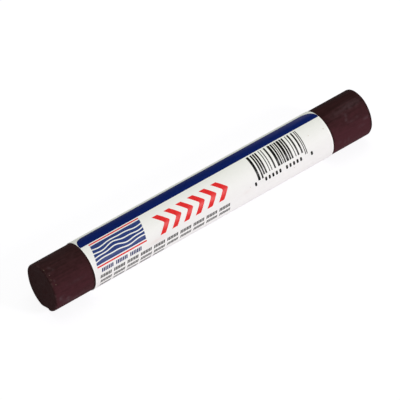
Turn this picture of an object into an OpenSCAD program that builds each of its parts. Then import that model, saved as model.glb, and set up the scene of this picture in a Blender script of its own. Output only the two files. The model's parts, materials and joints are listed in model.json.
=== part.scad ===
// Soft wax filler stick for mending scratches in furniture: a solid cast rod of coloured wax
// in a paper label, which is wound once round the rod and glued down over its own first edge.
// The stick lies along X on the surface z = 0, with the origin under the middle of its length.

/* [Wax] */
// Diameter of the wax rod
wax_d = 12.7; // [8:0.1:25]
// Radius of the rounded rim at each end of the rod
rim_r = 0.5; // [0.2:0.1:2]
// Length of bare wax at the near end, towards -X, along the axis
near_bare = 11.6; // [4:0.1:30]
// Length of bare wax at the far end, towards +X, along the axis
far_bare = 13.8; // [4:0.1:30]
// Angle by which the near end is cut out of square, turned about the upright direction
near_lean = 3; // [0:0.1:8]
// Angle by which the far end is cut out of square, turned the same way
far_lean = 4.4; // [0:0.1:8]

/* [Label] */
// Length of the label along the rod
label_l = 76.2; // [30:0.1:150]
// Thickness of the label's paper
paper_t = 0.1; // [0.05:0.01:0.3]
// Thickness of the adhesive coat on the back of the paper
glue_t = 0.03; // [0.02:0.01:0.1]
// Width of paper that laps over the label's first edge
lap_w = 4; // [2:0.5:8]
// Direction of the label's first edge round the rod, from +Y towards +Z
seam_angle = 318; // [290:1:345]

/* [Hidden] */
$fn = 180;

// Outer radius of each layer, from the wax outwards
wax_r = wax_d / 2;
glue_r = wax_r + glue_t;
paper_r = glue_r + paper_t;
lap_glue_r = paper_r + glue_t;
lap_paper_r = lap_glue_r + paper_t;

// Places along the rod
wax_l = near_bare + label_l + far_bare;
near_x = -wax_l / 2;
far_x = near_x + wax_l;
label_x = near_x + near_bare;

// Height of the rod's axis: the label's first layer rests on the surface
axis_z = paper_r;

// Angle that the lap takes round the rod
lap_a = lap_w / paper_r * 180 / PI;

// Angle over which the paper climbs onto its first edge: pressed down, it is steeper than a tangent
climb_share = 0.7;
climb_a = climb_share * acos(glue_r / lap_glue_r);

// Size that reaches past every layer, for shapes that only cut others
reach = 2 * lap_paper_r;
lap_steps = 6;

// The rounding of a rim turns from the end face until it flares out through the rod's side
rim_flare = 15;
rim_steps = 5;

wax_colour = "#41232a";
glue_colour = "#d8d2c0";
paper_colour = "#f0ece8";

// Point at radius r and angle a
function polar(r, a) = [r * cos(a), r * sin(a)];

// Area within radius r1, from the line that climbs onto the first edge from radius r0 to the lap's end
module lap_area(r0, r1) {
    foot = polar(r0, seam_angle - climb_a);
    top = polar(r1, seam_angle);
    run = top - foot;
    turn = (lap_a - climb_a) / lap_steps;
    rim = [for (i = [0 : lap_steps]) polar(reach, seam_angle + climb_a + i * turn)];
    intersection() {
        circle(r = r1);
        polygon(concat([[0, 0], foot - run / 2, top + run / 2], rim));
    }
}

// Half a turn of the paper's first layer, from its first edge
module first_layer_area() {
    intersection() {
        difference() {
            circle(r = paper_r);
            circle(r = glue_r);
        }
        rotate(seam_angle)
            translate([-reach, 0])
                square([2 * reach, reach]);
    }
}

// All that lies within the adhesive's outer face, in the lap too, apart from the paper's first layer
module glue_area() {
    circle(r = glue_r);
    difference() {
        lap_area(glue_r, lap_glue_r);
        first_layer_area();
    }
}

// All that lies within the label's outer face
module paper_area() {
    circle(r = paper_r);
    lap_area(paper_r, lap_paper_r);
}

// Form that cuts an end: a disc with a rounded rim at z = 0, which flares out past the rod above it
module end_form() {
    turn = (90 - rim_flare) / rim_steps;
    rim = [for (i = [0 : rim_steps]) [wax_r - rim_r + rim_r * sin(i * turn), rim_r - rim_r * cos(i * turn)]];
    top = wax_l + reach;
    rotate_extrude()
        polygon(concat([[0, 0]], rim, [[wax_r + top * tan(rim_flare), rim_r + top], [0, rim_r + top]]));
}

// Lays a shape that was drawn along Z on the rod's axis, starting at x
module along_rod(x) {
    translate([x, 0, axis_z])
        rotate([90, 0, 90])
            children();
}

module wax_stick() {
    color(wax_colour)
        intersection() {
            along_rod(near_x - reach)
                cylinder(r = wax_r, h = wax_l + 2 * reach);
            along_rod(near_x)
                rotate([0, -near_lean, 0])
                    end_form();
            along_rod(far_x)
                rotate([0, -far_lean, 0])
                    mirror([0, 0, 1])
                        end_form();
        }
}

module label_adhesive() {
    color(glue_colour)
        along_rod(label_x)
            linear_extrude(label_l)
                difference() {
                    glue_area();
                    circle(r = wax_r);
                }
}

module label_paper() {
    color(paper_colour)
        along_rod(label_x)
            linear_extrude(label_l)
                difference() {
                    paper_area();
                    glue_area();
                }
}

wax_stick();
label_adhesive();
label_paper();
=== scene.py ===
import json
import math
import random

import bmesh
import bpy
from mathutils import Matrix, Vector, noise


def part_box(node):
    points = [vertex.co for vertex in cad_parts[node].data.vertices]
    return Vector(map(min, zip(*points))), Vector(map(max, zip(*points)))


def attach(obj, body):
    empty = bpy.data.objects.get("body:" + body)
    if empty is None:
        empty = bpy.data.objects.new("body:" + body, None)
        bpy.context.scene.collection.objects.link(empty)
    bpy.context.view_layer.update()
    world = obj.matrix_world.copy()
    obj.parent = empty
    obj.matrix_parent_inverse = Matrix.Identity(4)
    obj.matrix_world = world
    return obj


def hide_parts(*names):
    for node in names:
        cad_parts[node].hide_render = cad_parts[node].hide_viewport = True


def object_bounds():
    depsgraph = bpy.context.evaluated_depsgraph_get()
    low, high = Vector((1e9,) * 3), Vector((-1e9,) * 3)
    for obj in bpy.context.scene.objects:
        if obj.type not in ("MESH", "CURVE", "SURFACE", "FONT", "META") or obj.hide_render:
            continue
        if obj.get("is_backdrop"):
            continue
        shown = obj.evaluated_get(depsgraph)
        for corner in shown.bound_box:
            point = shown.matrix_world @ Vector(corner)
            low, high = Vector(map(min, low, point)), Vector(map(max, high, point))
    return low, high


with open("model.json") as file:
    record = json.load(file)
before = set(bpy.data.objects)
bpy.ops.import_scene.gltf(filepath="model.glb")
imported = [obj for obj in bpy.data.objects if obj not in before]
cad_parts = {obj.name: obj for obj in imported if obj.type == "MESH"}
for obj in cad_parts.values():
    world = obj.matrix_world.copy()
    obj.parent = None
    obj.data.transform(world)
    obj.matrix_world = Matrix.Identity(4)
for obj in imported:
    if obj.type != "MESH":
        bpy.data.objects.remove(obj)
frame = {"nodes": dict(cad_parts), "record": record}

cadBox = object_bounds()
scene = bpy.context.scene
scene.view_settings.view_transform = "Standard"

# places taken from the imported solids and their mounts, in metres
mm = 0.001
mounts = {mount["name"]: mount for mount in frame["record"]["mounts"]}
axisZ = mounts["label_barrel"]["pos_m"][2]
paperRadius = mounts["label_barrel"]["dims"]["r_mm"] * mm   # over the label's single layer
waxLow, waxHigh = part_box("wax_stick")
labelLow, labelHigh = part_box("label_paper")
labelX0, labelX1 = labelLow.x, labelHigh.x
waxRadius = round((waxHigh.z - waxLow.z) / 2, 5)   # to 0.01 mm
print("frame:", len(frame["nodes"]), "solids,", len(mounts), "mounts")


# shape helpers

def aroundRod(x, radius, angle):
    return Vector((x, radius * math.cos(angle), axisZ + radius * math.sin(angle)))


def angleOf(point):
    return math.degrees(math.atan2(point.z - axisZ, point.y)) % 360


def angleGap(angle, middle):
    return abs((angle - middle + math.pi) % (2 * math.pi) - math.pi)


def smoothStep(value, low, high):
    share = min(1.0, max(0.0, (value - low) / (high - low)))
    return share * share * (3 - 2 * share)


def ripple(angle, around, seed):
    # noise round the rod, with about 3 x 'around' waves a turn
    return noise.noise(Vector((seed, around * math.cos(angle), around * math.sin(angle))))


def softRipple(angle, around, seed):
    # the same, from 0 to 1
    return 0.5 + 0.5 * ripple(angle, around, seed)


def spotWeight(point, spots, radius):
    # soft oval spots given as x, angle, half length, half width and strength
    angle = math.radians(angleOf(point))
    total = 0.0
    for x, middle, length, width, strength in spots:
        along = (point.x / mm - x) / length
        across = angleGap(angle, math.radians(middle)) * radius / mm / width
        total += strength * math.exp(-along * along - across * across)
    return min(1.0, total)


def finishPiece(name, mesh, finish, node=None):
    mesh.shade_smooth()
    mesh.materials.append(finish)
    piece = bpy.data.objects.new(name, mesh)
    scene.collection.objects.link(piece)
    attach(piece, "root")
    if node:
        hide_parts(node)
    return piece


def makePiece(name, points, faces, finish, node=None):
    mesh = bpy.data.meshes.new(name)
    mesh.from_pydata(points, [], faces)
    shape = bmesh.new()
    shape.from_mesh(mesh)
    bmesh.ops.recalc_face_normals(shape, faces=shape.faces)
    shape.to_mesh(mesh)
    shape.free()
    return finishPiece(name, mesh, finish, node)


def closedFilm(faces, first, across, down):
    # a thin sheet: two layers of a grid, 'across' by 'down' points each, joined round the border
    layer = across * down
    for row in range(down - 1):
        for column in range(across - 1):
            corner = first + row * across + column
            quad = (corner, corner + 1, corner + across + 1, corner + across)
            faces.append(quad)
            faces.append(tuple(layer + point for point in reversed(quad)))
    border = [first + column for column in range(across)]
    border += [first + row * across + across - 1 for row in range(1, down)]
    border += [first + layer - 1 - column for column in range(1, across)]
    border += [first + row * across for row in range(down - 2, 0, -1)]
    for a, b in zip(border, border[1:] + border[:1]):
        faces.append((a, b, layer + b, layer + a))


# material helpers

noiseWide = (0.3, 0.7)     # most of a noise texture's values
noiseCore = (0.35, 0.65)   # the middle of them, for a clearer change


def newFinish(name):
    finish = bpy.data.materials.new(name)
    finish.use_nodes = True
    tree = finish.node_tree
    return finish, tree, tree.nodes["Principled BSDF"]


def setSocket(tree, socket, value):
    if isinstance(value, bpy.types.NodeSocket):
        tree.links.new(value, socket)
    else:
        socket.default_value = value


def addNode(tree, kind, inputs=None, **options):
    made = tree.nodes.new(kind)
    for option, value in options.items():
        setattr(made, option, value)
    for socket, value in (inputs or {}).items():
        setSocket(tree, made.inputs[socket], value)
    return made


def grainNoise(tree, scale, detail, rough, lift=0.0):
    # noise in the object's own space, 'scale' in waves per metre along X, Y and Z
    place = addNode(tree, "ShaderNodeTexCoord").outputs["Object"]
    spread = addNode(tree, "ShaderNodeMapping", {"Vector": place, "Scale": scale, "Location": (lift,) * 3})
    settings = {"Vector": spread.outputs[0], "Scale": 1.0, "Detail": detail, "Roughness": rough}
    return addNode(tree, "ShaderNodeTexNoise", settings).outputs[0]


def rangeOf(tree, value, source, target=(0, 1)):
    # moves a value from one range to another, and holds it at the ends
    settings = {"Value": value, "From Min": source[0], "From Max": source[1]}
    settings.update({"To Min": target[0], "To Max": target[1]})
    return addNode(tree, "ShaderNodeMapRange", settings).outputs[0]


def mixColours(tree, share, first, second):
    mix = addNode(tree, "ShaderNodeMix", {0: share}, data_type="RGBA")
    for socket, value in ((mix.inputs[6], first), (mix.inputs[7], second)):   # a colour mix's A and B
        setSocket(tree, socket, (*value, 1.0) if isinstance(value, tuple) else value)
    return mix.outputs[2]


def combine(tree, operation, first, second):
    return addNode(tree, "ShaderNodeMath", {0: first, 1: second}, operation=operation).outputs[0]


def pieceMask(tree, name):
    return addNode(tree, "ShaderNodeAttribute", attribute_name=name).outputs["Fac"]


def paintMask(piece, name, weight):
    mask = piece.data.attributes.new(name, "FLOAT", "POINT")
    for index, vertex in enumerate(piece.data.vertices):
        mask.data[index].value = weight(vertex.co)


def dressShader(tree, shader, colour, roughness, height, bump):
    # bump is a strength and a distance
    tree.links.new(colour, shader.inputs["Base Color"])
    tree.links.new(roughness, shader.inputs["Roughness"])
    settings = {"Height": height, "Strength": bump[0], "Distance": bump[1]}
    tree.links.new(addNode(tree, "ShaderNodeBump", settings).outputs[0], shader.inputs["Normal"])


# wax rod

wax = {
    "segments": 288,
    "faceRings": 16,
    "rimSteps": 8,
    "bareRow": 0.25 * mm,          # spacing of rows on the bare stretches
    "labelRow": 4.0 * mm,          # spacing under the label
    "labelInset": 0.02 * mm,       # the wax under the label lies this far inside the solid's
    "faceInset": 0.012 * mm,       # and the end faces this far
    "rim": 0.5 * mm,               # rounding of the cut rims
    "rimSpread": 0.14 * mm,
    "rimWaves": 2.0,
    # where a rim is worn, by how much its rounding changes there, and how much rubbing and painted highlight
    # make it pale
    "nearEnd": {
        "wornSide": math.radians(30),
        "wornReach": math.radians(50),
        "wornChange": -0.28 * mm,
        "rubAndHighlight": 1.0,
        "rimSeed": 3.1,
        "faceSeed": 7,
    },
    "farEnd": {
        "wornSide": math.radians(206),
        "wornReach": math.radians(28),
        "wornChange": 0.22 * mm,
        "rubAndHighlight": 0.0,
        "rimSeed": 8.4,
        "faceSeed": 1,
    },
    # fine drag lines along the rod, and slow waves under them
    "drag": {"depth": 0.02 * mm, "along": 9 * mm, "around": 26, "seed": 1.7},
    "wave": {"depth": 0.03 * mm, "along": 5 * mm, "around": 3.2, "seed": 5.2},
    # lumps and pits of the end faces, as noise per mm
    "faceDepth": 0.06 * mm,
    "lumps": 0.45,
    "lumpShare": 0.4,
    "pits": 2.1,
    "pitLevel": 0.25,
    "pitShift": 4,
    "flatFrom": 0.8,               # from this share of the face to its rim they run out
    "shade": (0.0205, 0.0066, 0.0071),      # bare wax, between the drag lines and on them
    "dragged": (0.0335, 0.0114, 0.0123),
    "paintedLit": (0.0575, 0.0166, 0.0216),       # painted light: the paler tone of the side that faces forward
    "streakLit": (-0.15, 0.15),            # how much the streaks and patches change the painted light's share
    "patchLit": (-0.18, 0.18),
    # what lies over the rest in patches: range of their noise, how much of it shows, and its shade
    "cover": {
        "endFace": (noiseWide, (0.75, 1.0), (0.0246, 0.0073, 0.0071)),
        # the near rim is paler from rubbing wear and a painted highlight
        "rimRubAndHighlight": ((0.4, 0.62), (0.05, 0.7), (0.070, 0.036, 0.037)),
        "rubMarks": ((0.34, 0.6), (0.3, 1.0), (0.095, 0.066, 0.074)),
    },
    "streaks": {"scale": (110, 1700, 1700), "detail": 4, "rough": 0.6},
    "patches": {"scale": (800, 1200, 1200), "detail": 3, "rough": 0.55, "lift": 0.3},
    "grain": {"scale": (5200, 7000, 7000), "detail": 2, "rough": 0.5},
    "grainShare": 0.3,             # of the fine grain in the bump
    "bump": (0.6, 0.05 * mm),
    "rough": (0.62, 0.80),
    "gloss": 0.03,
}

# a chip along the bottom of the near rim, which breaks off steeply on one side and runs out on the other
chip = {
    "tilt": math.radians(45),
    "depth": 0.38 * mm,
    "start": (235, 248),           # degrees round the rod
    "end": (254, 280),
    "rough": 0.05 * mm,
}

# painted light on the bare wax: paler on the side that faces forward, with painted shade by the label and the
# far rim
paintedLight = {
    "comes": (83, 182),            # degrees round the rod
    "goes": (225, 310),
    "offLabel": (0.1 * mm, 0.9 * mm),
    "offRim": (0.2 * mm, 1.3 * mm),
    "level": 0.97,
    "gain": 0.15,                  # more towards the far end, less towards the near one
}

# rub marks on the bare wax: x, angle, half length, half width, strength
waxMarks = [
    (-49.75, 174, 0.4, 0.55, 0.55),
    (-49.2, 181, 0.5, 0.4, 0.35),
    (-48.6, 188, 0.7, 0.5, 0.35),
    (-47.3, 189.5, 0.5, 0.7, 0.6),
    (-45.6, 197, 1.4, 0.5, 0.35),
    (-43.8, 191, 1.2, 0.4, 0.2),
    (-47.6, 181, 0.4, 0.35, 0.3),
    (-48.9, 171, 0.6, 0.3, 0.25),
    (-48.9, 96.5, 0.35, 0.5, 0.35),
    (-48.5, 105, 0.5, 0.4, 0.2),
    (-49.7, 129, 0.25, 0.3, 0.3),
    (-49.9, 109, 0.4, 0.3, 0.2),
    (-44.2, 152, 2.6, 0.4, 0.15),
    (-45.5, 78, 7.0, 4.0, 0.09),
    (42.9, 134.7, 0.4, 0.5, 0.5),
    (43.4, 124, 0.4, 0.6, 0.35),
    (44.3, 141, 0.7, 0.3, 0.25),
    (44.3, 106, 2.2, 0.9, 0.18),
    (46.1, 110, 2.0, 0.8, 0.21),
    (48.2, 107, 1.5, 0.9, 0.21),
    (41.0, 110, 2.2, 1.1, 0.16),
    (46.6, 98, 2.8, 0.8, 0.12),
    (46.2, 138.5, 0.6, 0.3, 0.25),
    (48.5, 151, 0.9, 0.35, 0.35),
    (46.7, 164, 1.2, 0.4, 0.22),
    (39.3, 176, 0.5, 0.5, 0.2),
    (40.95, 183, 0.25, 0.6, 0.4),
    (42.2, 182, 0.3, 0.7, 0.28),
]


def rodEnd(mount, labelX, wear):
    # where an end face crosses the axis, its lean in x per unit of y, and the way into the rod
    x, axis = mount["pos_m"][0], mount["axis"]
    inward = math.copysign(1, labelX - x)
    return {"x": x, "lean": -axis[1] / axis[0], "inward": inward, "labelX": labelX, **wear}


nearEnd = rodEnd(mounts["near_end_face"], labelX0, wax["nearEnd"])
farEnd = rodEnd(mounts["far_end_face"], labelX1, wax["farEnd"])


def rimSize(end, angle):
    worn = 1 - smoothStep(angleGap(angle, end["wornSide"]), 0, end["wornReach"])
    uneven = ripple(angle, wax["rimWaves"], end["rimSeed"])
    return wax["rim"] + wax["rimSpread"] * uneven + end["wornChange"] * worn


def sideDip(x, angle):
    depth = 0.0
    for dip in (wax["drag"], wax["wave"]):
        depth += dip["depth"] * softRipple(angle, dip["around"], x / dip["along"] + dip["seed"])
    return depth


def faceDip(end, radius, angle):
    y, z = radius * math.cos(angle) / mm, radius * math.sin(angle) / mm
    lumps = noise.noise(Vector((y * wax["lumps"], z * wax["lumps"], end["faceSeed"])))
    pits = noise.noise(Vector((y * wax["pits"], z * wax["pits"], end["faceSeed"] + wax["pitShift"])))
    level = 1 - wax["lumpShare"] + wax["lumpShare"] * lumps
    return wax["faceDepth"] * (level + max(0.0, pits - wax["pitLevel"]))


def chipped(point):
    # cuts the near rim back to a bevel that follows it round
    angle = angleOf(point)
    share = smoothStep(angle, *chip["start"]) * (1 - smoothStep(angle, *chip["end"]))
    if share == 0:
        return point
    turn = math.radians(angle)
    along, outward = math.cos(chip["tilt"]), math.sin(chip["tilt"])
    bevel = Vector((-along, outward * math.cos(turn), outward * math.sin(turn)))
    limit = waxRadius * outward + rimSize(nearEnd, turn) * (1 - along - outward)
    limit -= share * (chip["depth"] + chip["rough"] * noise.noise(point / mm))
    middle = Vector((nearEnd["x"] + nearEnd["lean"] * point.y, 0, axisZ))
    return point - bevel * max(0.0, (point - middle).dot(bevel) - limit)


def behindFace(end, radius, angle, depth):
    back = wax["faceInset"] + depth
    return end["x"] + end["lean"] * radius * math.cos(angle) + end["inward"] * back


# points on an end face, its rim and the bare stretch behind it

def facePoint(end, share, angle):
    radius = share * (waxRadius - rimSize(end, angle))
    dip = faceDip(end, radius, angle) * (1 - smoothStep(share, wax["flatFrom"], 1))
    return chipped(aroundRod(behindFace(end, radius, angle, dip), radius, angle))


def rimPoint(end, share, angle):
    rim = rimSize(end, angle)
    turn = share * math.pi / 2
    radius = waxRadius - rim + rim * math.sin(turn)
    x = behindFace(end, radius, angle, rim * (1 - math.cos(turn)))
    return chipped(aroundRod(x, radius - share * sideDip(x, angle), angle))


def sidePoint(end, share, angle):
    start = behindFace(end, waxRadius, angle, rimSize(end, angle))
    x = start + share * (end["labelX"] - start)
    return chipped(aroundRod(x, waxRadius - sideDip(x, angle), angle))


def endRings(end):
    # rings from an end face to the label: point function, its settings, on the face, and the rim's rubbing
    # and painted highlight
    rings = []
    for step in range(1, wax["faceRings"] + 1):
        rings.append((facePoint, (end, step / wax["faceRings"]), 1.0, 0.0))
    for step in range(1, wax["rimSteps"] + 1):
        share = step / wax["rimSteps"]
        # rubbing and painted highlight, strongest half way round the rim
        rings.append((rimPoint, (end, share), 1 - share, end["rubAndHighlight"] * math.sin(share * math.pi)))
    count = round(abs(end["labelX"] - end["x"]) / wax["bareRow"])
    for step in range(1, count + 1):
        rings.append((sidePoint, (end, step / count), 0.0, 0.0))
    return rings


def waxRings():
    # all rings of the rod, from the near face to the far one
    covered = []
    count = round((labelX1 - labelX0) / wax["labelRow"])
    for step in range(1, count):
        x = labelX0 + step / count * (labelX1 - labelX0)
        covered.append((aroundRod, (x, waxRadius - wax["labelInset"]), 0.0, 0.0))
    return endRings(nearEnd) + covered + endRings(farEnd)[::-1]


def makeWaxRod(finish):
    rings = waxRings()
    turns = [2 * math.pi * step / wax["segments"] for step in range(wax["segments"])]
    points, onFace, onRim = [], [], []
    for place, settings, face, rim in rings:
        points += [place(*settings, angle) for angle in turns]
        onFace += [face] * len(turns)
        onRim += [rim] * len(turns)
    faces = []
    for ring in range(len(rings) - 1):
        a, b = ring * len(turns), (ring + 1) * len(turns)
        for step in range(len(turns)):
            after = (step + 1) % len(turns)
            faces.append((a + step, a + after, b + after, b + step))
    for ring, end in ((0, nearEnd), (len(rings) - 1, farEnd)):
        middle = len(points)
        points.append(facePoint(end, 0, 0))
        onFace.append(1.0)
        onRim.append(0.0)
        a = ring * len(turns)
        faces += [(middle, a + step, a + (step + 1) % len(turns)) for step in range(len(turns))]
    rod = makePiece("waxRod", points, faces, finish, "wax_stick")
    for name, values in (("endFace", onFace), ("rimRubAndHighlight", onRim)):
        rod.data.attributes.new(name, "FLOAT", "POINT").data.foreach_set("value", values)
    return rod


# painted light: the wax is paler on the side that faces forward, and kept dark by the label and the far rim
# as painted shade
def waxPaintedLight(point):
    angle = angleOf(point)
    forward = smoothStep(angle, *paintedLight["comes"]) * (1 - smoothStep(angle, *paintedLight["goes"]))
    offLabel = max(labelX0 - point.x, point.x - labelX1)
    offRim = farEnd["x"] + farEnd["lean"] * point.y - point.x
    edges = smoothStep(offLabel, *paintedLight["offLabel"]) * smoothStep(offRim, *paintedLight["offRim"])
    return (paintedLight["level"] + paintedLight["gain"] * point.x / farEnd["x"]) * forward * edges


def waxFinish():
    finish, tree, shader = newFinish("filler_wax")
    streaks = grainNoise(tree, **wax["streaks"])
    patches = grainNoise(tree, **wax["patches"])
    grain = grainNoise(tree, **wax["grain"])
    # mixes the bare wax towards the painted-light tone, broken up by the streaks and patches
    paintedLit = pieceMask(tree, "waxPaintedLight")
    paintedLit = combine(tree, "ADD", paintedLit, rangeOf(tree, streaks, noiseWide, wax["streakLit"]))
    paintedLit = combine(tree, "ADD", paintedLit, rangeOf(tree, patches, noiseWide, wax["patchLit"]))
    colour = mixColours(tree, rangeOf(tree, streaks, noiseCore), wax["shade"], wax["dragged"])
    colour = mixColours(tree, paintedLit, colour, wax["paintedLit"])
    for mask, (source, shown, shade) in wax["cover"].items():
        share = combine(tree, "MULTIPLY", pieceMask(tree, mask), rangeOf(tree, patches, source, shown))
        colour = mixColours(tree, share, colour, shade)
    height = combine(tree, "ADD", streaks, combine(tree, "MULTIPLY", grain, wax["grainShare"]))
    dressShader(tree, shader, colour, rangeOf(tree, streaks, noiseWide, wax["rough"]), height, wax["bump"])
    shader.inputs["Specular IOR Level"].default_value = wax["gloss"]
    return finish


waxRod = makeWaxRod(waxFinish())
# paints the share of painted light and shade round the rod
paintMask(waxRod, "waxPaintedLight", waxPaintedLight)
paintMask(waxRod, "rubMarks", lambda point: spotWeight(point, waxMarks, waxRadius))
print("wax rod:", len(waxRod.data.polygons), "faces,", round((farEnd["x"] - nearEnd["x"]) / mm, 2), "mm long")


# label paper and its adhesive: one sheet wound once round the rod and lapped over its first edge

sheet = {
    "firstEdge": math.radians(318),
    "lap": 4.0 * mm,
    "climb": math.radians(8),
    "glueLayer": 0.03 * mm,       # between the wax and the paper
    "glueThick": 0.026 * mm,
    "glueGap": 0.002 * mm,
    "paperThick": 0.085 * mm,     # print takes the rest of the label's 0.1 mm
    "turnSteps": 220,
    "lengthRows": 64,
    "edgeRows": 4,
    "edgeWidth": 0.55 * mm,
    "edgeWander": 0.05 * mm,      # cut ends are not quite straight
    "wanderWaves": 2.5,
    "nearSeed": 4.2,
    "farSeed": 9.6,
    "nearSkew": 0.16 * mm,        # and the near one is cut out of square, away from this side
    "squareSide": math.radians(166),
    "sharpFrom": math.radians(50),
}
paper = {
    "white": (0.875, 0.864, 0.858),
    "fibre": (0.842, 0.830, 0.822),
    # painted highlight: the paper is whiter along its cut ends
    "paintedEdgeHighlight": (0.945, 0.935, 0.927),
    "smear": (0.70, 0.50, 0.47),
    "smears": [(-20.0, 163, 2.6, 0.6, 0.5), (8.5, 168, 1.2, 0.5, 0.25)],   # wax left by fingers
    "fibres": {"scale": (900, 1600, 1600), "detail": 5, "rough": 0.65},
    "clouds": {"scale": (70, 160, 160), "detail": 2, "rough": 0.5},
    "toneRange": (0.7, 1.3),      # of fibres and clouds added
    "bump": (0.25, 0.012 * mm),
    "rough": (0.46, 0.6),
    "gloss": 0.20,
}
glue = {
    "dark": (0.56, 0.51, 0.38),
    "light": (0.66, 0.62, 0.50),
    "clouds": {"scale": (400, 900, 900), "detail": 3, "rough": 0.6},
    "bump": (0.2, 0.01 * mm),
    "rough": (0.28, 0.45),
}
sheetTurn = 2 * math.pi + sheet["lap"] / paperRadius
lapLift = paperRadius - waxRadius   # one layer of paper and adhesive under the lap
glueRadius = waxRadius + sheet["glueLayer"]


def sheetPoint(share, turned, radius):
    angle = sheet["firstEdge"] + turned
    x0 = labelX0 + sheet["edgeWander"] * softRipple(angle, sheet["wanderWaves"], sheet["nearSeed"])
    x0 += sheet["nearSkew"] * (1 - math.cos(angle - sheet["squareSide"]))
    x1 = labelX1 - sheet["edgeWander"] * softRipple(angle, sheet["wanderWaves"], sheet["farSeed"])
    rise = lapLift * smoothStep(turned, 2 * math.pi - sheet["climb"], 2 * math.pi)
    return aroundRod(x0 + share * (x1 - x0), radius + rise, angle)


def sheetRows():
    # shares of the label's length, closer together by its cut ends
    border = [step / sheet["edgeRows"] for step in range(sheet["edgeRows"] + 1)]
    border = [share * sheet["edgeWidth"] / (labelX1 - labelX0) for share in border]
    inner = [step / sheet["lengthRows"] for step in range(1, sheet["lengthRows"])]
    return border + inner + [1 - share for share in reversed(border)]


# painted highlight along the label's cut ends, fading over the edge width
def paintedEdgeHighlight(point):
    inside = min(point.x - labelX0, labelX1 - point.x)
    return 1 - smoothStep(inside, 0, sheet["edgeWidth"])


def woundSheet(name, inner, thick, finish, node):
    turns = [sheetTurn * step / sheet["turnSteps"] for step in range(sheet["turnSteps"] + 1)]
    rows = sheetRows()
    points = []
    for radius in (inner, inner + thick):
        points += [sheetPoint(share, turned, radius) for share in rows for turned in turns]
    faces = []
    closedFilm(faces, 0, len(turns), len(rows))
    piece = makePiece(name, points, faces, finish, node)
    piece.data.set_sharp_from_angle(angle=sheet["sharpFrom"])
    return piece


def paperFinish():
    finish, tree, shader = newFinish("label_paper_white")
    fibres = grainNoise(tree, **paper["fibres"])
    tone = combine(tree, "ADD", fibres, grainNoise(tree, **paper["clouds"]))
    colour = mixColours(tree, rangeOf(tree, tone, paper["toneRange"]), paper["fibre"], paper["white"])
    # the painted highlight along the cut ends
    colour = mixColours(tree, pieceMask(tree, "paintedEdgeHighlight"), colour, paper["paintedEdgeHighlight"])
    smeared = combine(tree, "MULTIPLY", pieceMask(tree, "waxSmear"), fibres)
    colour = mixColours(tree, smeared, colour, paper["smear"])
    dressShader(tree, shader, colour, rangeOf(tree, fibres, noiseWide, paper["rough"]), fibres, paper["bump"])
    shader.inputs["Specular IOR Level"].default_value = paper["gloss"]
    return finish


def glueFinish():
    finish, tree, shader = newFinish("label_adhesive_clear")
    clouds = grainNoise(tree, **glue["clouds"])
    colour = mixColours(tree, rangeOf(tree, clouds, noiseCore), glue["dark"], glue["light"])
    dressShader(tree, shader, colour, rangeOf(tree, clouds, noiseWide, glue["rough"]), clouds, glue["bump"])
    return finish


glueInner = waxRadius + sheet["glueGap"]
woundSheet("glueCoat", glueInner, sheet["glueThick"], glueFinish(), "label_adhesive")
paperLabel = woundSheet("paperLabel", glueRadius, sheet["paperThick"], paperFinish(), "label_paper")
paintMask(paperLabel, "paintedEdgeHighlight", paintedEdgeHighlight)
paintMask(paperLabel, "waxSmear", lambda point: spotWeight(point, paper["smears"], paperRadius))
print("label: paper and adhesive wound,", len(paperLabel.data.polygons), "faces each")


# print on the label: thin films of ink, placed on the flat sheet by x along the stick and s round it, in mm

ink = {
    "paperFace": glueRadius + sheet["paperThick"],
    "thick": 0.010 * mm,
    "sunk": 0.004 * mm,
    "middle": math.radians(129.4),   # angle of s = 0, the side that faces the viewer
    "stepRound": 0.3,                # largest step round the label
    "stepAlong": 4.0,                # and along it, in a plain box
    "sharpFrom": math.radians(40),
    # dark and light shade of each ink, and its gloss
    "navy": ((0.0028, 0.0122, 0.111), (0.0042, 0.0152, 0.131), 0.02),
    "blue": ((0.022, 0.043, 0.175), (0.030, 0.054, 0.205), 0.05),
    "red": ((0.68, 0.022, 0.023), (0.78, 0.032, 0.032), 0.08),
    "black": ((0.0050, 0.0047, 0.0046), (0.0085, 0.0078, 0.0076), 0.10),
    "mottle": {"scale": (1300, 1300, 1300), "detail": 4, "rough": 0.6},
    "bump": (0.2, 0.01 * mm),
    "rough": (0.24, 0.36),
}


def paintedSheenShare(tree, paintedSheen):
    # how much of the painted sheen shows: it grows along X and Y, in fine streaks along the stick
    place = addNode(tree, "ShaderNodeTexCoord").outputs["Object"]
    axes = addNode(tree, "ShaderNodeSeparateXYZ", {0: place}).outputs
    grown = combine(tree, "MULTIPLY", rangeOf(tree, axes["X"], paintedSheen["x"]), rangeOf(tree, axes["Y"], paintedSheen["y"]))
    streaks = rangeOf(tree, grainNoise(tree, **paintedSheen["streaks"]), noiseCore, paintedSheen["streakShare"])
    return combine(tree, "MULTIPLY", grown, streaks)


def inkFinish(colourName, paintedSheen):
    dark, light, gloss = ink[colourName]
    finish, tree, shader = newFinish(colourName + "_ink")
    mottle = grainNoise(tree, **ink["mottle"])
    fibres = grainNoise(tree, **paper["fibres"])
    colour = mixColours(tree, rangeOf(tree, mottle, noiseCore), dark, light)
    # painted sheen: the ink is mixed towards a paler tone where the sheen lies
    if paintedSheen:
        colour = mixColours(tree, paintedSheenShare(tree, paintedSheen), colour, paintedSheen["shade"])
    dressShader(tree, shader, colour, rangeOf(tree, fibres, noiseWide, ink["rough"]), fibres, ink["bump"])
    shader.inputs["Specular IOR Level"].default_value = gloss
    return finish


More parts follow.
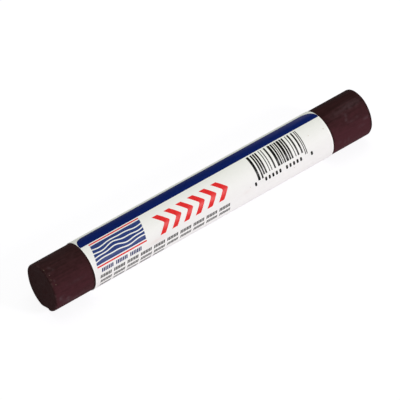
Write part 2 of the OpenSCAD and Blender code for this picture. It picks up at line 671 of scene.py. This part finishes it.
class InkLayer:
    def __init__(self, colourName):
        self.colourName = colourName
        self.points = []
        self.faces = []

    def lay(self, shape, columns, height):
        # shape(u, v) gives x and s; u runs along the stick and v round it
        rows = max(1, math.ceil(height / ink["stepRound"]))
        first = len(self.points)
        for radius in (ink["paperFace"] - ink["sunk"], ink["paperFace"] + ink["thick"]):
            for row in range(rows + 1):
                for column in range(columns + 1):
                    x, s = shape(column / columns, row / rows)
                    angle = ink["middle"] + s * mm / paperRadius
                    self.points.append(aroundRod(x * mm, radius, angle))
        closedFilm(self.faces, first, columns + 1, rows + 1)

    def box(self, x0, x1, s0, s1):
        columns = max(1, math.ceil((x1 - x0) / ink["stepAlong"]))
        self.lay(lambda u, v: (x0 + u * (x1 - x0), s0 + v * (s1 - s0)), columns, s1 - s0)

    def roundBox(self, x0, x1, s0, s1, corner, steps, foot=True):
        # rounded corners at the top, and at the foot too unless told otherwise
        turns = [step / steps * math.pi / 2 for step in range(steps + 1)]
        insets = [(corner * (1 - math.cos(turn)), corner * (1 - math.sin(turn))) for turn in turns]
        columns = [(x0 + x, inset) for x, inset in insets]
        columns += [(x1 - x, inset) for x, inset in reversed(insets)]

        def shape(u, v):
            x, inset = columns[round(u * (len(columns) - 1))]
            top, low = s0 + inset, s1 - inset if foot else s1
            return x, top + v * (low - top)

        self.lay(shape, len(columns) - 1, s1 - s0)

    def make(self, paintedSheen=None):
        finish = inkFinish(self.colourName, paintedSheen)
        piece = makePiece(self.colourName + "Print", self.points, self.faces, finish)
        piece.data.set_sharp_from_angle(angle=ink["sharpFrom"])


band = {"x0": -39.0, "x1": 36.95, "s0": -7.86, "s1": -4.14, "corner": 3.3, "cornerSteps": 12}
# painted sheen on the band: pale from the first of these places to the second, and most there
bandPaintedSheen = {
    "x": (10 * mm, 33 * mm),
    "y": (0.9 * mm, 2.6 * mm),
    "shade": (0.040, 0.046, 0.17),
    "streaks": {"scale": (160, 2400, 2400), "detail": 3, "rough": 0.6},
    "streakShare": (0.6, 1.4),
}
panel = {
    "x0": -37.4,
    "x1": -22.2,
    "s0": -3.2,
    "s1": 1.9,
    "lean": -0.22,
    "strips": 5,
    "stripTall": 1.2,     # the tallest, about
    "columns": 60,
    "line": 0.3,          # bare paper between two strips
    "wave": 0.3,          # height of the lines' waves
    "turn": 8.5,          # radians of a wave along the panel, and its drift from line to line
    "drift": 0.55,
    "ripple": 0.5,        # share of a second wave, twice as close, and its drift
    "rippleDrift": 0.9,
    "ruleTall": 0.36,
    "ruleGap": 0.3,
}
panelMiddle = (panel["s0"] + panel["s1"]) / 2
chevrons = {
    "count": 6,
    "x0": -18.7,
    "pitch": 3.7,
    "wide": 1.7,
    "point": 2.4,
    "s0": -2.0,
    "s1": 3.0,
    "columns": 2,
}
hatch = {
    "wide": 0.34,
    "pitch": 0.5,
    "tall": 0.92,
    "lean": -0.25,
    "group": 7,           # strokes
    "gap": 0.64,
    # x, number of groups, foot and scale of each row
    "navyRows": [(-37.1, 3, 4.0, 1.05)],
    "blackRows": [(-37.8, 10, 5.6, 1.0), (-37.8, 10, 7.15, 1.0), (-37.8, 5, 8.8, 1.0)],
}
bars = {
    "x0": 12.6,
    "x1": 29.1,
    "s0": -3.75,
    "s1": 2.3,
    "longFoot": 3.1,      # the first bars and the last reach down to here
    "longFirst": 2,
    "longLast": 4,        # modules
    "module": 0.24,
    "barModules": (1, 2, 2, 3),
    "gapModules": (1, 1, 2, 3),
    "seed": 9,
}
dots = {
    "groups": ((11.3, 1), (14.6, 5), (21.4, 5), (29.6, 1)),   # x and number of dots
    "foot": 4.2,
    "tall": 1.1,
    "wide": 0.62,
    "corner": 0.28,
    "cornerSteps": 3,
    "pitch": 1.16,
}


def layBand(layer):
    # the lower edge of the band runs out straight to its ends
    places = [band[place] for place in ("x0", "x1", "s0", "s1")]
    layer.roundBox(*places, band["corner"], band["cornerSteps"], foot=False)


def panelLine(number, u):
    # wavy line between two strips of the panel, straight at its top and bottom
    level = number / panel["strips"]
    wave = math.sin(u * panel["turn"] + number * panel["drift"])
    wave += panel["ripple"] * math.sin(2 * u * panel["turn"] - number * panel["rippleDrift"])
    swing = panel["wave"] * math.sin(level * math.pi) * wave
    return panel["s0"] + level * (panel["s1"] - panel["s0"]) + swing


def layPanel(layer):
    for strip in range(panel["strips"]):
        above = 0 if strip == 0 else panel["line"] / 2
        below = 0 if strip == panel["strips"] - 1 else panel["line"] / 2

        def shape(u, v):
            low = panelLine(strip, u) + above
            high = panelLine(strip + 1, u) - below
            s = low + v * (high - low)
            return panel["x0"] + u * (panel["x1"] - panel["x0"]) + panel["lean"] * (s - panelMiddle), s

        layer.lay(shape, panel["columns"], panel["stripTall"])


def layPanelRules(layer):
    for edge, sign in ((panel["s0"], -1), (panel["s1"], 1)):
        inside = edge + sign * panel["ruleGap"]
        outside = inside + sign * panel["ruleTall"]
        shift = panel["lean"] * (edge - panelMiddle)
        layer.box(panel["x0"] + shift, panel["x1"] + shift, min(inside, outside), max(inside, outside))


def layChevrons(layer):
    tall = chevrons["s1"] - chevrons["s0"]
    for number in range(chevrons["count"]):
        start = chevrons["x0"] + number * chevrons["pitch"]

        def shape(u, v):
            x = start + u * chevrons["wide"] + chevrons["point"] * (1 - abs(2 * v - 1))
            return x, chevrons["s0"] + v * tall

        layer.lay(shape, chevrons["columns"], tall)


def layHatch(layer, rows):
    # rows of short slanted strokes in equal groups
    for x0, groups, foot, scale in rows:
        wide, pitch, tall = hatch["wide"] * scale, hatch["pitch"] * scale, hatch["tall"] * scale
        for number in range(groups * hatch["group"]):
            start = x0 + number * pitch + number // hatch["group"] * hatch["gap"] * scale

            def shape(u, v):
                return start + u * wide + hatch["lean"] * (v - 1) * tall, foot - (1 - v) * tall

            layer.lay(shape, 1, tall)


def layBars(layer):
    # stripes of made-up widths
    draw = random.Random(bars["seed"])
    module = bars["module"]
    x = bars["x0"]
    number = 0
    while x < bars["x1"] - module:
        end = min(bars["x1"], x + module * draw.choice(bars["barModules"]))
        outer = number < bars["longFirst"] or end > bars["x1"] - bars["longLast"] * module
        layer.box(x, end, bars["s0"], bars["longFoot"] if outer else bars["s1"])
        x = end + module * draw.choice(bars["gapModules"])
        number += 1


def layDots(layer):
    top = dots["foot"] - dots["tall"]
    for start, count in dots["groups"]:
        for step in range(count):
            x = start + step * dots["pitch"]
            layer.roundBox(x, x + dots["wide"], top, dots["foot"], dots["corner"], dots["cornerSteps"])


navyLayer = InkLayer("navy")
layBand(navyLayer)
layHatch(navyLayer, hatch["navyRows"])
navyLayer.make(bandPaintedSheen)

blueLayer = InkLayer("blue")
layPanel(blueLayer)
blueLayer.make()

redLayer = InkLayer("red")
layPanelRules(redLayer)
layChevrons(redLayer)
redLayer.make()

blackLayer = InkLayer("black")
layHatch(blackLayer, hatch["blackRows"])
layBars(blackLayer)
layDots(blackLayer)
blackLayer.make()
print("print: navy, blue, red and black ink laid")


# crumbs of pale filler on the near rim and specks on the label

crumbs = {
    # distance from the end face, angle, half length round the rod, half width
    "rim": [
        (0.46, 96, 0.3, 0.07),
        (0.80, 113, 0.13, 0.08),
        (0.61, 123.5, 0.12, 0.07),
        (1.19, 138, 0.12, 0.1),
    ],
    # x, angle, half length round the rod, half width
    "label": [
        (35.66, 124.7, 0.12, 0.13),
        (30.88, 122, 0.1, 0.1),
        (9.77, 161.1, 0.11, 0.1),
        (23.9, 173.3, 0.1, 0.09),
    ],
    "high": 0.05,
    "fineness": 3,
    "uneven": 0.4,
    "lumps": 1.3,
    "seed": 5,
    "seedRange": 9,
    "filler": ((0.075, 0.048, 0.030), (0.16, 0.11, 0.075)),   # dark and light
    "dust": ((0.50, 0.40, 0.27), (0.66, 0.56, 0.42)),
    "clouds": {"scale": (2600, 2600, 2600), "detail": 3, "rough": 0.6},
    "cloudRange": (0.4, 0.6),
    "bump": (0.3, 0.02 * mm),
    "rough": (0.6, 0.8),
}


def rimPlaces():
    for past, degrees, length, width in crumbs["rim"]:
        angle = math.radians(degrees)
        rim = rimSize(nearEnd, angle)
        turn = math.acos(max(0.0, 1 - past * mm / rim))
        beyond = max(0.0, past * mm - rim)
        side = Vector((0, math.cos(angle), math.sin(angle)))
        outward = side * math.sin(turn) - Vector((math.cos(turn), 0, 0))
        place = rimPoint(nearEnd, turn / (math.pi / 2), angle) + Vector((beyond, 0, 0))
        yield place, outward, length, width


def labelPlaces():
    for x, degrees, length, width in crumbs["label"]:
        angle = math.radians(degrees)
        outward = Vector((0, math.cos(angle), math.sin(angle)))
        yield aroundRod(x * mm, ink["paperFace"], angle), outward, length, width


def makeCrumbs(name, places, finish):
    shape = bmesh.new()
    draw = random.Random(crumbs["seed"])
    for centre, outward, length, width in places:
        shift = Vector([draw.uniform(0, crumbs["seedRange"]) for axis in range(3)])
        around = Vector((1, 0, 0)).cross(outward).normalized()
        across = outward.cross(around)
        ball = bmesh.ops.create_icosphere(shape, subdivisions=crumbs["fineness"], radius=1.0)
        for vertex in ball["verts"]:
            lump = vertex.co * (1 + crumbs["uneven"] * noise.noise(vertex.co * crumbs["lumps"] + shift))
            spread = around * lump.x * length + across * lump.y * width + outward * lump.z * crumbs["high"]
            vertex.co = centre + spread * mm
    mesh = bpy.data.meshes.new(name)
    shape.to_mesh(mesh)
    shape.free()
    finishPiece(name, mesh, finish)


def crumbFinish(name, dark, light):
    finish, tree, shader = newFinish(name)
    clouds = grainNoise(tree, **crumbs["clouds"])
    colour = mixColours(tree, rangeOf(tree, clouds, crumbs["cloudRange"]), dark, light)
    roughness = rangeOf(tree, clouds, noiseWide, crumbs["rough"])
    dressShader(tree, shader, colour, roughness, clouds, crumbs["bump"])
    return finish


makeCrumbs("rimCrumbs", rimPlaces(), crumbFinish("pale_filler", *crumbs["filler"]))
makeCrumbs("labelSpecks", labelPlaces(), crumbFinish("pale_dust", *crumbs["dust"]))
print("crumbs:", len(crumbs["rim"]), "on the rim,", len(crumbs["label"]), "on the label")


# floor, light and camera

studio = {
    "floorHalf": 3.0,
    "floorBounce": (0.985, 0.94, 0.995, 1),   # what the floor gives back to the object
    "floorSeen": (0.18, 0.17, 0.20, 1),       # the part of the seen floor that takes the shadow
    "floorGlow": 0.88,
    "white": (1, 1, 1, 1),
    "world": 0.345,
}
frontLamp = {
    "aim": (0.46, -0.77, 0.44),
    "away": 2.4,
    "size": 0.63,
    "power": 32.4,
    "tint": (1.0, 0.98, 1.0),
}
topLamp = {
    "aim": (0.1, 0.25, 0.96),
    "away": 1.1,
    "size": 0.9,
    "power": 3.95,
    "tint": (0.90, 1.0, 0.77),
}
photo = {
    "azimuth": math.radians(-39.12),
    "elevation": math.radians(43.38),
    "distance": 774.5 * mm,
    "aimX": -0.06 * mm,
    "lens": 279.46,
    "shift": (-0.01085, -0.0065),
}


def floorFinish():
    finish, tree = newFinish("white_sweep")[:2]
    tree.nodes.clear()
    rays = addNode(tree, "ShaderNodeLightPath").outputs
    seen = combine(tree, "MAXIMUM", rays["Is Camera Ray"], rays["Is Glossy Ray"])
    seen = combine(tree, "MAXIMUM", seen, rays["Is Transmission Ray"])
    bounce = addNode(tree, "ShaderNodeBsdfDiffuse", {"Color": studio["floorBounce"]})
    shadowed = addNode(tree, "ShaderNodeBsdfDiffuse", {"Color": studio["floorSeen"]})
    glow = addNode(tree, "ShaderNodeEmission", {"Color": studio["white"], "Strength": studio["floorGlow"]})
    pale = addNode(tree, "ShaderNodeAddShader", {0: shadowed.outputs[0], 1: glow.outputs[0]})
    surface = addNode(tree, "ShaderNodeMixShader", {0: seen, 1: bounce.outputs[0], 2: pale.outputs[0]})
    addNode(tree, "ShaderNodeOutputMaterial", {"Surface": surface.outputs[0]})
    return finish


def makeFloor():
    half = studio["floorHalf"]
    mesh = bpy.data.meshes.new("studioFloor")
    corners = [(-half, -half, 0), (half, -half, 0), (half, half, 0), (-half, half, 0)]
    mesh.from_pydata(corners, [], [(0, 1, 2, 3)])
    mesh.materials.append(floorFinish())
    floor = bpy.data.objects.new("studioFloor", mesh)
    scene.collection.objects.link(floor)
    floor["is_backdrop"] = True


def makeWorld():
    world = bpy.data.worlds.new("softRoom")
    world.use_nodes = True
    background = world.node_tree.nodes["Background"]
    background.inputs["Color"].default_value = studio["white"]
    background.inputs["Strength"].default_value = studio["world"]
    scene.world = world


def makeLamp(name, settings):
    data = bpy.data.lights.new(name, "AREA")
    data.shape = "DISK"
    data.size = settings["size"]
    data.energy = settings["power"]
    data.color = settings["tint"]
    lamp = bpy.data.objects.new(name, data)
    toLamp = Vector(settings["aim"]).normalized()
    lamp.location = Vector((0, 0, axisZ)) + toLamp * settings["away"]
    lamp.rotation_euler = (-toLamp).to_track_quat("-Z", "Y").to_euler()
    lamp.visible_camera = False
    scene.collection.objects.link(lamp)


def makeCamera():
    data = bpy.data.cameras.new("photoCamera")
    data.lens = photo["lens"]
    data.shift_x, data.shift_y = photo["shift"]
    camera = bpy.data.objects.new("photoCamera", data)
    azimuth, elevation = photo["azimuth"], photo["elevation"]
    level = math.cos(elevation)
    back = Vector((math.sin(azimuth) * level, -math.cos(azimuth) * level, math.sin(elevation)))
    camera.location = Vector((photo["aimX"], 0, axisZ)) + back * photo["distance"]
    camera.rotation_euler = (-back).to_track_quat("-Z", "Y").to_euler()
    scene.collection.objects.link(camera)
    scene.camera = camera


makeFloor()
makeWorld()
makeLamp("frontSoftbox", frontLamp)
makeLamp("topSoftbox", topLamp)
makeCamera()
print("studio: floor, two softboxes and camera")

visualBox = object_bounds()
boxes = {"cad": cadBox, "visual": visualBox}
{name: [list(corner) for corner in box] for name, box in boxes.items()}
